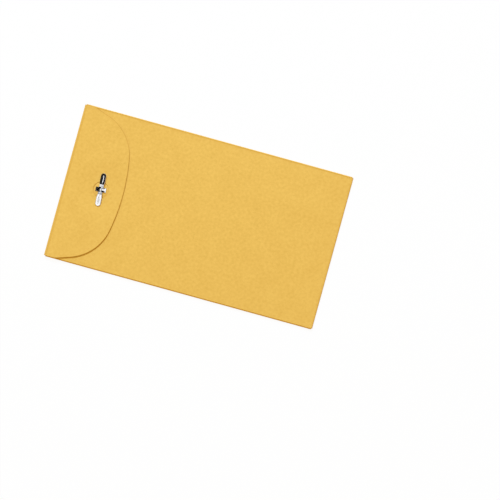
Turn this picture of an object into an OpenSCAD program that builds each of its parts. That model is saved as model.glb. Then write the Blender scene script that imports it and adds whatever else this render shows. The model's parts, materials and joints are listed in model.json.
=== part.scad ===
// Clasp envelope, open at one short end, lying on its address side with the flap closed and the clasp fastened.
// X runs along the envelope, with the flap's fold at the -X end. Y runs across it. Z is up, from the table.
// Seen from above with the flap at the top, -Y is the left side and +Y is the right side.

/* [Envelope] */
// Length from the flap's fold to the bottom fold
envelope_l = 139.7; // [120:0.1:180]
// Width from side fold to side fold
envelope_w = 79.375; // [70:0.125:110]
// Thickness of the kraft paper
paper_t = 0.16; // [0.1:0.01:0.3]
// How far the back panel's long edges stay inside the side folds
back_inset = 0.5; // [0.2:0.05:2]
// Distance from the flap's fold to the back panel's edge at the mouth
throat_setback = 6; // [4:0.5:9]

/* [Side seams] */
// Width of each side flap, from the side fold
side_flap_w = 12.7; // [8:0.1:20]
// How much shorter each end of a side flap is along its free edge
side_flap_taper = 4; // [1:0.5:8]
// Thickness of the glue in the side seams
glue_t = 0.03; // [0.02:0.01:0.1]
// Bare margin round each line of glue
glue_margin = 1.5; // [0.5:0.1:3]

/* [Closure flap] */
// Depth of the flap from its fold to its tip
flap_depth = 30.3; // [28:0.1:36]
// Radius of the flap's broad tip
flap_tip_r = 101.5; // [80:0.5:150]
// Radius of the flap's two corners
flap_corner_r = 23.5; // [15:0.5:26]
// Taper of the flap's sides, in degrees
flap_taper = 18.8; // [10:0.1:24]
// Straight length of the flap's sides before the taper starts
flap_shoulder = 5.5; // [3:0.1:8]
// How far the flap's sides stay inside the side folds
flap_inset = 0.5; // [0.2:0.05:2]
// Diameter of the hole for the clasp
hole_d = 7.9; // [7.4:0.1:10]
// Distance from the flap's fold to the middle of the hole and the clasp
clasp_from_fold = 18.9; // [17:0.1:20]
// Thickness of the dry gum
gum_t = 0.03; // [0.02:0.01:0.05]
// Bare margin between the gum and the flap's edge
gum_margin = 2; // [1:0.1:4]
// Distance from the flap's fold to the start of the gum
gum_start = 9; // [7:0.5:12]
// Side of the square patch round the hole
eyelet_patch_w = 16; // [13:0.5:18]
// Thickness of the patch round the hole
eyelet_patch_t = 0.12; // [0.08:0.01:0.2]
// Bare margin between the gum and the patch round the hole
patch_margin = 0.8; // [0.3:0.1:2]
// Room between the back panel and the patch round the hole
flap_clearance = 0.05; // [0.03:0.01:0.2]

/* [Clasp] */
// Thickness of the tinned steel sheet
clasp_sheet = 0.3; // [0.2:0.01:0.4]
// Turn of the clasp from square to the envelope, in degrees
clasp_turn = 3.5; // [-8:0.5:8]
// Distance from the middle of the clasp to the tip of a prong
prong_reach = 8.3; // [7:0.1:9]
// Width of a prong
prong_w = 2.6; // [2.2:0.1:3]
// Width of a prong where it bends
neck_w = 2.1; // [1.6:0.1:2.6]
// Length over which a prong widens
neck_flare = 1.6; // [1:0.1:2.2]
// Distance from the middle of the clasp to a prong's bend
bend_from_middle = 2.5; // [2.3:0.1:2.8]
// Width of the stiffening bead along a prong
bead_w = 0.9; // [0.6:0.1:1.2]
// Height of the stiffening bead
bead_h = 0.13; // [0.08:0.01:0.2]
// Distance from the bead's end to the prong's tip, and to its bend
bead_margin = 0.9; // [0.6:0.1:1.4]
// Room between a prong and the flap under it
prong_clearance = 0.05; // [0.03:0.01:0.15]
// How far past upright a prong can be pinched towards the other one, in degrees
prong_pinch = 20; // [0:1:20]
// Room between a pinched prong and the saddle's end
bend_clearance = 0.03; // [0.02:0.01:0.08]
// Span of the saddle across its two ears
ear_span = 5.4; // [4.6:0.1:6]
// Width of the ears and of the legs under them
leg_w = 2.1; // [1.2:0.1:2.4]
// Length of each leg that is clinched under the patch
leg_clinch = 1.5; // [1:0.1:1.8]
// Room round each leg in its slit
slit_clearance = 0.05; // [0.03:0.01:0.12]
// Side of the square patch behind the clasp
clasp_patch_w = 16; // [12:0.5:18]
// Thickness of the patch behind the clasp
clasp_patch_t = 0.18; // [0.1:0.01:0.3]
// Room in the pocket under the clinched legs
leg_clearance = 0.4; // [0.2:0.05:1.5]

/* [Hidden] */
$fn = 64;
// Steps along each round stretch of the flap's edge
arc_steps = 14;

// Heights of the undersides, from the table up
clinch_z = paper_t + leg_clearance;
clasp_patch_z = clinch_z + clasp_sheet;
back_z = clasp_patch_z + clasp_patch_t;
seat_z = back_z + paper_t;
glue_z = back_z - glue_t;
side_z = glue_z - paper_t;
eyelet_z = seat_z + flap_clearance;
flap_z = eyelet_z + eyelet_patch_t;
gum_z = flap_z - gum_t;
prong_z = flap_z + paper_t + prong_clearance;

// Outer radii of the folds, each from the front panel up to the sheet that it turns into
flap_fold_r = (flap_z + paper_t) / 2;
bottom_fold_r = (back_z + paper_t) / 2;
side_fold_r = (side_z + paper_t) / 2;

// Middle lines of the folds, and the edges of the panels
fold_edge_x = -envelope_l / 2;
flap_fold_x = fold_edge_x + flap_fold_r;
bottom_fold_x = envelope_l / 2 - bottom_fold_r;
side_fold_y = envelope_w / 2 - side_fold_r;
throat_x = fold_edge_x + throat_setback;
back_half_w = envelope_w / 2 - back_inset;
side_flap_edge_y = envelope_w / 2 - side_flap_w;
clasp_x = fold_edge_x + clasp_from_fold;

// The flap's edge: its tip arc, two corner arcs that touch it, and tapered sides that touch those
flap_half_w = envelope_w / 2 - flap_inset;
side_normal = [sin(flap_taper), cos(flap_taper)];
side_along = [cos(flap_taper), -sin(flap_taper)];
side_line = side_normal * [flap_shoulder, flap_half_w];
tip_centre = [flap_depth - flap_tip_r, 0];
corner_out = side_line - flap_corner_r - side_normal * tip_centre;
corner_along = sqrt((flap_tip_r - flap_corner_r) ^ 2 - corner_out ^ 2);
corner_centre = tip_centre + corner_out * side_normal + corner_along * side_along;
tip_angle = atan2(corner_centre.y, corner_centre.x - tip_centre.x);

// The clasp's bend and the parts of its saddle, from the middle of the clasp
root_r = clasp_sheet / 2;
saddle_end = bend_from_middle - root_r * (1 / cos(prong_pinch) + tan(prong_pinch)) - bend_clearance;
saddle_flat = leg_w / 2;
saddle_raised = saddle_end - root_r;
leg_inside = ear_span / 2 - clasp_sheet;
bead_r = (bead_w ^ 2 / 4 + bead_h ^ 2) / (2 * bead_h);

// Spare length by which a cut passes right through a sheet
cut_over = 1;

kraft = [0.93, 0.76, 0.38];
kraft_patch = [0.87, 0.68, 0.34];
dry_gum = [0.90, 0.83, 0.62];
tinned_steel = [0.82, 0.83, 0.85];

// Points on an arc, from one angle up to another but without its last point, where the next stretch starts
function arc(centre, r, from, to) = [
    for (i = [0:arc_steps - 1])
        let (a = from + (to - from) * i / arc_steps)
            centre + r * [cos(a), sin(a)]
];

// One side of the flap's edge, from the middle of its tip to the fold, with everything drawn in by inset
function flap_side(inset) = concat(
    arc(tip_centre, flap_tip_r - inset, 0, tip_angle),
    arc(corner_centre, flap_corner_r - inset, tip_angle, 90 - flap_taper),
    [
        corner_centre + (flap_corner_r - inset) * side_normal,
        [(side_line - inset - side_normal.y * (flap_half_w - inset)) / side_normal.x, flap_half_w - inset],
        [flap_fold_r, flap_half_w - inset],
    ]
);

// The flap's flat outline, placed on the envelope
module flap_outline(inset = 0) {
    side = flap_side(inset);
    last = len(side) - 1;
    other_side = [for (i = [last:-1:1]) [side[i].x, -side[i].y]];
    translate([fold_edge_x, 0])
        polygon(concat(side, other_side));
}

// A fold: half a tube along Y that bulges towards -X, from the table up
module crease(r, length) {
    translate([0, 0, r])
        rotate([90, 0, 0])
            linear_extrude(length, center = true)
                difference() {
                    circle(r);
                    circle(r - paper_t);
                    translate([0, -r])
                        square(2 * r);
                }
}

// A sheet cut from a flat outline, with its underside at z
module sheet(z, thickness) {
    translate([0, 0, z])
        linear_extrude(thickness)
            children();
}

// Moves a shape to the clasp's place and turn
module at_clasp() {
    translate([clasp_x, 0])
        rotate(clasp_turn)
            children();
}

// The two slits that the clasp's legs pierce
module leg_slits() {
    for (side = [-1, 1])
        translate([side * (leg_inside + clasp_sheet / 2), 0])
            square([clasp_sheet, leg_w] + 2 * slit_clearance * [1, 1], center = true);
}

module front_panel() {
    color(kraft)
        sheet(0, paper_t)
            translate([flap_fold_x, -side_fold_y])
                square([bottom_fold_x - flap_fold_x, 2 * side_fold_y]);
}

module back_panel() {
    color(kraft)
        sheet(back_z, paper_t)
            difference() {
                translate([throat_x, -back_half_w])
                    square([bottom_fold_x - throat_x, 2 * back_half_w]);
                at_clasp()
                    leg_slits();
            }
}

module bottom_crease() {
    color(kraft)
        translate([bottom_fold_x, 0, 0])
            rotate(180)
                crease(bottom_fold_r, 2 * side_fold_y);
}

// side is -1 for the left side fold and 1 for the right one
module side_crease(side) {
    color(kraft)
        translate([(flap_fold_x + bottom_fold_x) / 2, side * side_fold_y, 0])
            rotate(-90 * side)
                crease(side_fold_r, bottom_fold_x - flap_fold_x);
}

module side_flap(side) {
    color(kraft)
        sheet(side_z, paper_t)
            polygon([
                [flap_fold_x, side * side_fold_y],
                [flap_fold_x + side_flap_taper, side * side_flap_edge_y],
                [bottom_fold_x - side_flap_taper, side * side_flap_edge_y],
                [bottom_fold_x, side * side_fold_y],
            ]);
}

module seam_glue(side) {
    start_x = max(throat_x, flap_fold_x + side_flap_taper) + glue_margin;
    end_x = bottom_fold_x - side_flap_taper - glue_margin;
    inner_y = side_flap_edge_y + glue_margin;
    outer_y = min(side_fold_y, back_half_w) - glue_margin;
    color(dry_gum)
        sheet(glue_z, glue_t)
            translate([(start_x + end_x) / 2, side * (inner_y + outer_y) / 2])
                square([end_x - start_x, outer_y - inner_y], center = true);
}

module closure_flap() {
    color(kraft)
        difference() {
            sheet(flap_z, paper_t)
                flap_outline();
            translate([clasp_x, 0, flap_z - cut_over])
                cylinder(d = hole_d, h = paper_t + 2 * cut_over);
        }
}

module flap_crease() {
    color(kraft)
        translate([flap_fold_x, 0, 0])
            crease(flap_fold_r, 2 * flap_half_w);
}

// side is -1 for the gum left of the patch round the hole and 1 for the gum right of it
module flap_gum(side) {
    bare_half_w = eyelet_patch_w / 2 + patch_margin;
    gum_w = envelope_w / 2 - bare_half_w;
    color(dry_gum)
        sheet(gum_z, gum_t)
            intersection() {
                flap_outline(gum_margin);
                translate([fold_edge_x + gum_start, side > 0 ? bare_half_w : -envelope_w / 2])
                    square([flap_depth, gum_w]);
            }
}

module eyelet_patch() {
    color(kraft_patch)
        difference() {
            sheet(eyelet_z, eyelet_patch_t)
                translate([clasp_x, 0])
                    square(eyelet_patch_w, center = true);
            translate([clasp_x, 0, eyelet_z - cut_over])
                cylinder(d = hole_d, h = eyelet_patch_t + 2 * cut_over);
        }
}

module clasp_patch() {
    color(kraft_patch)
        sheet(clasp_patch_z, clasp_patch_t)
            at_clasp()
                difference() {
                    square(clasp_patch_w, center = true);
                    leg_slits();
                }
}

// Half of the saddle across its ears, cut through: the ear, the leg through the paper and the clinched end
module leg_profile() {
    translate([0, seat_z])
        square([leg_inside, clasp_sheet]);
    translate([leg_inside, clinch_z + clasp_sheet])
        square([clasp_sheet, seat_z - clinch_z - clasp_sheet]);
    translate([leg_inside - leg_clinch, clinch_z])
        square([leg_clinch, clasp_sheet]);
    for (bend_z = [seat_z, clinch_z + clasp_sheet])
        intersection() {
            translate([leg_inside, bend_z])
                circle(clasp_sheet);
            translate([leg_inside, bend_z == seat_z ? bend_z : bend_z - clasp_sheet])
                square(clasp_sheet);
        }
}

// Half of the strap along the prongs, cut through: flat on the paper, then up through the hole to the bend
module strap_profile() {
    polygon([
        [0, seat_z],
        [saddle_flat, seat_z],
        [saddle_raised, prong_z],
        [saddle_end, prong_z],
        [saddle_end, prong_z + clasp_sheet],
        [saddle_raised, prong_z + clasp_sheet],
        [saddle_flat, seat_z + clasp_sheet],
        [0, seat_z + clasp_sheet],
    ]);
}

// A half profile and its mirror image, joined and made into a bar of the given width
module mirrored_bar(width) {
    rotate([90, 0, 0])
        linear_extrude(width, center = true)
            for (side = [0, 1])
                mirror([side, 0])
                    children();
}

module clasp_base() {
    color(tinned_steel)
        at_clasp() {
            mirrored_bar(leg_w)
                leg_profile();
            rotate(90)
                mirrored_bar(neck_w)
                    strap_profile();
        }
}

// A prong's flat outline, pointing along +Y from its bend
module prong_outline() {
    wide_y = bend_from_middle + neck_flare;
    tip_y = prong_reach - prong_w / 2;
    polygon([
        [-neck_w / 2, bend_from_middle],
        [neck_w / 2, bend_from_middle],
        [prong_w / 2, wide_y],
        [prong_w / 2, tip_y],
        [-prong_w / 2, tip_y],
        [-prong_w / 2, wide_y],
    ]);
    translate([0, tip_y])
        circle(d = prong_w);
}

// The pressed bead along the top of a prong, with round ends
module prong_bead() {
    top_z = prong_z + clasp_sheet;
    from_y = bend_from_middle + bead_margin + bead_w / 2;
    to_y = prong_reach - bead_margin - bead_w / 2;
    intersection() {
        translate([0, prong_reach, top_z + bead_h - bead_r])
            rotate([90, 0, 0])
                cylinder(r = bead_r, h = prong_reach);
        translate([0, 0, top_z - root_r])
            linear_extrude(root_r + bead_h) {
                translate([-bead_w / 2, from_y])
                    square([bead_w, to_y - from_y]);
                for (end_y = [from_y, to_y])
                    translate([0, end_y])
                        circle(d = bead_w);
            }
    }
}

// side is -1 for the left prong and 1 for the right one
module clasp_prong(side) {
    color(tinned_steel)
        at_clasp()
            rotate(side > 0 ? 0 : 180) {
                translate([-neck_w / 2, bend_from_middle, prong_z + root_r])
                    rotate([0, 90, 0])
                        cylinder(r = root_r, h = neck_w);
                sheet(prong_z, clasp_sheet)
                    prong_outline();
                prong_bead();
            }
}

front_panel();
back_panel();
bottom_crease();
side_crease(-1);  // side_crease_left
side_crease(1);  // side_crease_right
side_flap(-1);  // side_flap_left
side_flap(1);  // side_flap_right
seam_glue(-1);  // seam_glue_left
seam_glue(1);  // seam_glue_right
closure_flap();
flap_crease();
flap_gum(-1);  // flap_gum_left
flap_gum(1);  // flap_gum_right
eyelet_patch();
clasp_patch();
clasp_base();
clasp_prong(-1);  // clasp_prong_left
clasp_prong(1);  // clasp_prong_right
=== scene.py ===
# %% [markdown]
# # A kraft clasp envelope
# The envelope lies on a white table with its back up. Its flap is closed and its clasp is fastened. The
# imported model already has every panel, fold and prong at its real size. We load it first and leave it as it
# is. Every sheet that we make below takes its place and its thickness from that model.

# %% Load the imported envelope
import json
import math
import bpy
import numpy as np
from mathutils import Matrix, Vector
from mathutils.geometry import delaunay_2d_cdt


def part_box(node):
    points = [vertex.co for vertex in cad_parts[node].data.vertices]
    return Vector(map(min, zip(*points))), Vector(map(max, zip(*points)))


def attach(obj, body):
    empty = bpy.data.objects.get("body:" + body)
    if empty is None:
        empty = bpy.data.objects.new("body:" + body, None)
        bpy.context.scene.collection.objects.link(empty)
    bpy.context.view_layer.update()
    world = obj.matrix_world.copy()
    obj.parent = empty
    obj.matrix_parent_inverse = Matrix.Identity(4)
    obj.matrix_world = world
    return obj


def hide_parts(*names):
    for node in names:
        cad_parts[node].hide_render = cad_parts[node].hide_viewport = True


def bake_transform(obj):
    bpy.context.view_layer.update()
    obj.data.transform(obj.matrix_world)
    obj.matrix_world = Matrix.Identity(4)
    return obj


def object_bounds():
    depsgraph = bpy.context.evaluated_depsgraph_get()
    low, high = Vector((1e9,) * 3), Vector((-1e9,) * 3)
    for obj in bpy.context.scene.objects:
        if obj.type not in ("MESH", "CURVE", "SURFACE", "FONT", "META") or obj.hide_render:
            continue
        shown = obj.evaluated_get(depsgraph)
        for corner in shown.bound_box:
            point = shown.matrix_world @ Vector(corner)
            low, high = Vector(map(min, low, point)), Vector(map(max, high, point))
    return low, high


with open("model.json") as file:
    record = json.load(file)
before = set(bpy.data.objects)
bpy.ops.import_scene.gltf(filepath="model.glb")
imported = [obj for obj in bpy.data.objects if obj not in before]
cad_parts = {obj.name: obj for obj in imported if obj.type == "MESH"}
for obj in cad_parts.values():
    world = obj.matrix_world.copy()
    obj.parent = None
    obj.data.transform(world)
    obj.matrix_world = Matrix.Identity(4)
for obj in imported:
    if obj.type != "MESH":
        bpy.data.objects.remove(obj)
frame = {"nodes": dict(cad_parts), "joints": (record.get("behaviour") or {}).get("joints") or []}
cad_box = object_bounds()
MM = 0.001


def in_mm(lengths):
    """Lengths in millimetres, rounded for printing."""
    return [round(float(length) / MM, 2) for length in lengths]


print("packed nodes:", len(frame["nodes"]), "size in mm:", in_mm(cad_box[1] - cad_box[0]))

# %% [markdown]
# ## Sizes from the frame
# An envelope is a flat blank that is folded, so a few numbers describe it: the paper's thickness, where the
# folds are, and how high each sheet lies. We could type them in, but then they could drift from the model.
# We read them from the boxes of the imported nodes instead. Each fold is half a turn, so its radius is half
# the distance between the middles of the two sheets that it joins.

# %% Read where the sheets and the folds are
front_low, front_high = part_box("front_panel")
back_low, back_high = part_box("back_panel")
side_low, side_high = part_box("side_flap_right")
flap_low, flap_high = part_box("closure_flap")
paper = front_high.z - front_low.z
flap_fold_x = front_low.x
bottom_fold_x = front_high.x
side_fold_y = front_high.y


def fold_radius(low, high):
    """The radius of the fold that carries the front panel's sheet up to a sheet with this box."""
    return ((low.z + high.z) / 2 - paper / 2) / 2


bottom_radius = fold_radius(back_low, back_high)
side_radius = fold_radius(side_low, side_high)
flap_radius = fold_radius(flap_low, flap_high)
print("paper and fold radii in mm:", in_mm([paper, bottom_radius, side_radius, flap_radius]))

# %% [markdown]
# ## Folding paper
# Paper bends but doesn't stretch. So each sheet is drawn flat first, as a cutting die sees it, and then
# every point is carried to its folded place. A bent box would need its corners pushed about by hand, and a
# cloth simulation would wrinkle. Rolling a distance round a fold keeps the true length of the sheet, and
# the flat places stay with the points, so the grain of the paper can run through the folds without a seam.

# %% Roll a distance round a fold


def roll(distance, radius):
    """How far out past a fold's line, and how high, a point of the flat blank is carried.
    distance is how far past that line it lies on the blank."""
    turn = min(distance / radius, math.pi)
    beyond = max(distance - math.pi * radius, 0)
    return radius * math.sin(turn) - beyond, radius * (1 - math.cos(turn))


def smooth(value, start, stop):
    """Goes from 0 at start to 1 at stop, with no corner at either end."""
    t = min(max((value - start) / (stop - start), 0), 1)
    return t * t * (3 - 2 * t)


print("a point 5 mm past the bottom fold lies at", in_mm(roll(5 * MM, bottom_radius)))

# %% [markdown]
# ## A sheet from its outline
# The flap has a curved edge and a round hole, and the back panel has two slits for the clasp's legs. A
# plain grid can't follow those edges. A Delaunay triangulation can: we give it the outline, the holes and a
# grid of inner points. Solidify then gives the folded sheet its real thickness, with a second material on
# the cut edge. Three values stay with every point: its flat place, how far it is from a cut edge, and the
# tone of its fold, which is its press with painted shade or painted light.

# %% Stations and outlines
TINY = 1e-9
NEAR_END = 1e-4
UNIT_SQUARE = [(0, 0), (1, 0), (1, 1), (0, 1)]


def along(start, stop, spacing):
    """Even stations from start to stop, about this far apart."""
    return np.linspace(start, stop, max(2, round(abs(stop - start) / spacing) + 1))


def walked(loop, grid, spacing):
    """A closed outline with points added along it: at the grid's stations where it runs along the grid, and
    evenly spaced elsewhere."""
    points = []
    for here, there in zip(loop, loop[1:] + loop[:1]):
        run = np.subtract(there, here)
        length = math.hypot(*run)
        shares = np.arange(1, round(length / spacing)) * spacing / length
        for axis in (0, 1):
            if abs(run[1 - axis]) < TINY:
                shares = np.unique((np.asarray(grid[axis]) - here[axis]) / run[axis])
        shares = [0, *shares[(shares > NEAR_END) & (shares < 1 - NEAR_END)]]
        points += [(here[0] + t * run[0], here[1] + t * run[1]) for t in shares]
    return points


print("a square walked in half steps has", len(walked(UNIT_SQUARE, ([0.5], [0.5]), 0.5)), "points")

# %% Which points lie on a sheet, and how far they are from its edge


def distance_to(points, loop, skip_at=None):
    """How far each flat point is from the nearest stretch of an outline.
    Stretches along u = skip_at don't count."""
    nearest = np.full(len(points), math.inf)
    for here, there in zip(loop, loop[1:] + loop[:1]):
        if skip_at is not None and abs(here[0] - skip_at) + abs(there[0] - skip_at) < TINY:
            continue
        a = np.array(here)
        d = np.array(there) - a
        t = np.clip(((points - a) @ d) / max(d @ d, TINY ** 2), 0, 1)
        nearest = np.minimum(nearest, np.linalg.norm(points - a - t[:, None] * d, axis=1))
    return nearest


def inside(points, loop):
    """Which flat points lie within an outline."""
    x, y = points.T
    result = np.zeros(len(points), bool)
    for (ax, ay), (bx, by) in zip(loop, loop[1:] + loop[:1]):
        if ay == by:
            continue
        crosses = (ay > y) != (by > y)
        result ^= crosses & (x < (bx - ax) * (y - ay) / (by - ay) + ax)
    return result


def within(points, loops):
    """Which flat points lie on a sheet whose first loop is its outline and whose other loops are holes."""
    result = inside(points, loops[0])
    for loop in loops[1:]:
        result &= ~inside(points, loop)
    return result


middle = np.array([(0.5, 0.5)])
print("the middle of a square is inside it:", *inside(middle, UNIT_SQUARE))
print("and this far from its edge:", *distance_to(middle, UNIT_SQUARE))

# %% Triangles between the edges
CLEAR_OF_EDGE = 0.04 * MM
TRIANGLES_INSIDE = 1
WELD_MM = 1e-5


def triangulated(loops, inner):
    """Flat points and triangles of a sheet with these loops. Inner points that crowd an edge are left out."""
    keep = within(inner, loops)
    for loop in loops:
        keep &= distance_to(inner, loop) > CLEAR_OF_EDGE
    edges = []
    flat = []
    for loop in loops:
        first = len(flat)
        edges += [(first + i, first + (i + 1) % len(loop)) for i in range(len(loop))]
        flat += loop
    points = [Vector((u / MM, v / MM)) for u, v in [*flat, *inner[keep]]]
    made = delaunay_2d_cdt(points, edges, [], TRIANGLES_INSIDE, WELD_MM)
    flat = np.array([p.to_tuple() for p in made[0]]) * MM
    triangles = np.array(made[2])
    return flat, triangles[within(flat[triangles].mean(axis=1), loops)]


print("a bare square has", len(triangulated([UNIT_SQUARE], middle)[1]), "triangles round its middle point")

# %% Keep values on a mesh, and give it thickness
ROUNDED_FROM = math.radians(50)
SHARP_FROM = math.radians(45)


def store(mesh, name, kind, values):
    """Keeps one value or vector per point on a mesh."""
    attribute = mesh.attributes.new(name, kind, "POINT")
    field = "vector" if kind == "FLOAT_VECTOR" else "value"
    attribute.data.foreach_set(field, np.asarray(values, np.float32).ravel())


def evaluated_mesh(piece):
    """The mesh of a piece with its modifiers applied."""
    bpy.context.view_layer.update()
    return bpy.data.meshes.new_from_object(piece.evaluated_get(bpy.context.evaluated_depsgraph_get()))


def thicken(piece, thickness, bevel):
    """Gives a folded sheet its thickness, and its cut edges a rounding of this width."""
    solidify = piece.modifiers.new("thickness", "SOLIDIFY")
    solidify.thickness = thickness
    solidify.offset = 0
    solidify.material_offset_rim = 1
    if bevel:
        rounding = piece.modifiers.new("worn edges", "BEVEL")
        rounding.width = bevel
        rounding.segments = 2
        rounding.limit_method = "ANGLE"
        rounding.angle_limit = ROUNDED_FROM
    piece.data = evaluated_mesh(piece)
    piece.modifiers.clear()
    piece.data.name = piece.name
    piece.data.shade_smooth()
    piece.data.set_sharp_from_angle(angle=SHARP_FROM)


print("edges stay sharp from", round(math.degrees(SHARP_FROM)), "degrees")

# %% Cut a sheet and fold it
# A hole's band of wear and painted shade is this many times narrower than at the outline.
HOLE_BAND_NARROWING = 4


def cut_sheet(
    name, outline, holes, grid, place, thickness, spacing, joined_at=None, creased=None, bevel=0, more=()
):
    """A folded sheet. outline and holes are flat loops, with points added at this spacing.
    grid holds the inner stations (us, vs), and more holds inner points beside those.
    place folds a flat point, and the crease function gives its fold tone: press and painted shade or light.
    joined_at is the u of an edge that runs on into another sheet.
    The edge of a hole counts as further away, so its band of wear and painted shade is narrower."""
    loops = [walked(loop, grid, spacing) for loop in [outline, *holes]]
    flat, triangles = triangulated(loops, np.array([*[(u, v) for u in grid[0] for v in grid[1]], *more]))
    mesh = bpy.data.meshes.new(name)
    mesh.from_pydata([place(u, v) for u, v in flat], [], triangles.tolist())
    to_edges = [distance_to(flat, loops[0], joined_at)]
    to_edges += [HOLE_BAND_NARROWING * distance_to(flat, loop) for loop in loops[1:]]
    store(mesh, "flat_place", "FLOAT_VECTOR", np.column_stack([flat, np.zeros(len(flat))]))
    store(mesh, "edge_distance", "FLOAT", np.min(to_edges, axis=0))
    store(mesh, "crease", "FLOAT", [creased(u, v) if creased else 0 for u, v in flat])
    piece = bpy.data.objects.new(name, mesh)
    bpy.context.scene.collection.objects.link(piece)
    thicken(piece, thickness, bevel)
    print(name, "has", len(piece.data.vertices), "points and", len(piece.data.polygons), "faces")
    return piece


print("cut_sheet is ready, and tells of each sheet that it makes")

# %% [markdown]
# ## Shader maths as Python
# A finish is a net of small nodes, and a net that is wired by hand is hard to read. So a small class stands
# for one socket. Adding or multiplying such sockets adds the Math nodes, and one method adds any other kind
# of node.

# %% One socket, with arithmetic


class Wire:
    """One output socket of a node tree. Arithmetic on it adds Math nodes to that tree."""

    def __init__(self, tree, socket=None):
        self.tree = tree
        self.socket = socket

    def feed(self, socket, value):
        """Links a wire to an input, or sets a plain value on it."""
        if isinstance(value, Wire):
            self.tree.links.new(value.socket, socket)
        else:
            socket.default_value = value

    def node(self, kind, settings, sockets, output=0):
        """Adds a node, sets it up, feeds its inputs, and gives back one of its outputs."""
        made = self.tree.nodes.new(kind)
        for name, value in settings.items():
            setattr(made, name, value)
        for name, value in sockets.items():
            self.feed(made.inputs[name], value)
        return Wire(self.tree, made.outputs[output])

    def maths(self, operation, first, second):
        return self.node("ShaderNodeMath", {"operation": operation}, {0: first, 1: second})

    def __add__(self, other):
        return self.maths("ADD", self, other)

    __radd__ = __add__

    def __sub__(self, other):
        return self.maths("SUBTRACT", self, other)

    def __rsub__(self, other):
        return self.maths("SUBTRACT", other, self)

    def __mul__(self, other):
        return self.maths("MULTIPLY", self, other)

    __rmul__ = __mul__

    def __abs__(self):
        return self.node("ShaderNodeMath", {"operation": "ABSOLUTE"}, {0: self})


print("a socket can add, take away, multiply and lose its sign")

# %% [markdown]
# ## Tools for finishes
# Three patterns come back in the finishes: soft clouds, thin lines and a step between two levels. Thin
# lines could be drawn as curves, but paper has thousands of fibres. The lines where a smooth noise passes
# its middle value wander as fibres do, so a narrow band about that value gives fibres at almost no cost.

# %% Clouds, steps and fibres
MIDDLE = 0.5
FIBRE_WANDER = 0.6
TUFT_SIZE = 2.3
TUFT_EDGE = 0.08


def flat_place(paint):
    """Where a point lies on the flat blank, in metres."""
    return paint.node("ShaderNodeAttribute", {"attribute_name": "flat_place"}, {}, "Vector")


def kept_value(paint, name):
    """A value that was kept on the points of the mesh."""
    return paint.node("ShaderNodeAttribute", {"attribute_name": name}, {}, "Fac")


def clouds(paint, place, size, detail=2.0, distortion=0.0):
    """Soft noise from about 0 to 1, with blots of this size in metres."""
    sockets = {"Vector": place, "Scale": 1 / size, "Detail": detail, "Distortion": distortion}
    return paint.node("ShaderNodeTexNoise", {}, sockets, "Fac")


def soft_step(paint, value, start, stop):
    """0 at start and 1 at stop, with a soft change between them. start may be the larger one."""
    sockets = {"Value": value, "From Min": start, "From Max": stop}
    return paint.node("ShaderNodeMapRange", {"interpolation_type": "SMOOTHSTEP"}, sockets)


def turned(paint, place, angle, stretch, shift):
    """The place, turned by an angle, stretched and moved, so that two patterns don't match."""
    sockets = {"Vector": place, "Location": shift, "Rotation": (0, 0, angle), "Scale": stretch}
    return paint.node("ShaderNodeMapping", {}, sockets)


def fibres(paint, place, size, width, bare):
    """Thin wandering lines in tufts. size is how far apart they lie, width how wide they are, and bare how
    much of the surface has none."""
    line = abs(clouds(paint, place, size, detail=1.0, distortion=FIBRE_WANDER) - MIDDLE)
    tufts = soft_step(paint, clouds(paint, place, size * TUFT_SIZE, detail=0.0), bare, bare + TUFT_EDGE)
    return soft_step(paint, line, width, 0) * tufts


print("patterns are ready")

# %% Colours, and a finish to start from


def tint(red, green, blue):
    """An opaque colour."""
    return (red, green, blue, 1.0)


def blend_colours(paint, factor, first, second):
    """Goes from the first colour to the second one."""
    return paint.node("ShaderNodeMix", {"data_type": "RGBA"}, {0: factor, 6: first, 7: second}, 2)


def relief(paint, height, strength, depth):
    """Small hills and hollows in a surface, as a normal. depth is in metres."""
    return paint.node("ShaderNodeBump", {}, {"Strength": strength, "Distance": depth, "Height": height})


def new_finish(name):
    """An empty material with a Principled shader, and a wire to start from."""
    material = bpy.data.materials.new(name)
    material.use_nodes = True
    return material, Wire(material.node_tree), material.node_tree.nodes["Principled BSDF"]


def plug(paint, shader, **values):
    """Feeds the shader's inputs. Underscores stand for the spaces in their names."""
    for name, value in values.items():
        paint.feed(shader.inputs[name.replace("_", " ")], value)


print("finishes can be mixed")

# %% [markdown]
# ## Golden kraft paper
# Kraft is made of long wood fibres. From an arm's length it is an even golden tan with faint clouds, and
# close up it shows a felt of lighter and darker fibres and a few brown specks. Each fold is painted a set
# tone, so that the folds come out alike: darker for its press and with painted shade, most on the right
# fold, which faces the lamp, while the left fold, in the lamp's shade, gets painted light. A narrow band
# along each cut edge is darker too, partly from wear and partly as painted shade for the shadow line where
# an edge stands off. An image of paper would give all that, but it would have a fixed resolution. Noise
# has none, and it follows the flat blank round the folds.

# %% Kraft paper
# The band along a cut edge is darker, partly from wear and partly as painted shade for the edge's shadow
# line.
EDGE_WEAR_AND_SHADE_WIDTH = 0.35 * MM


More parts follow.
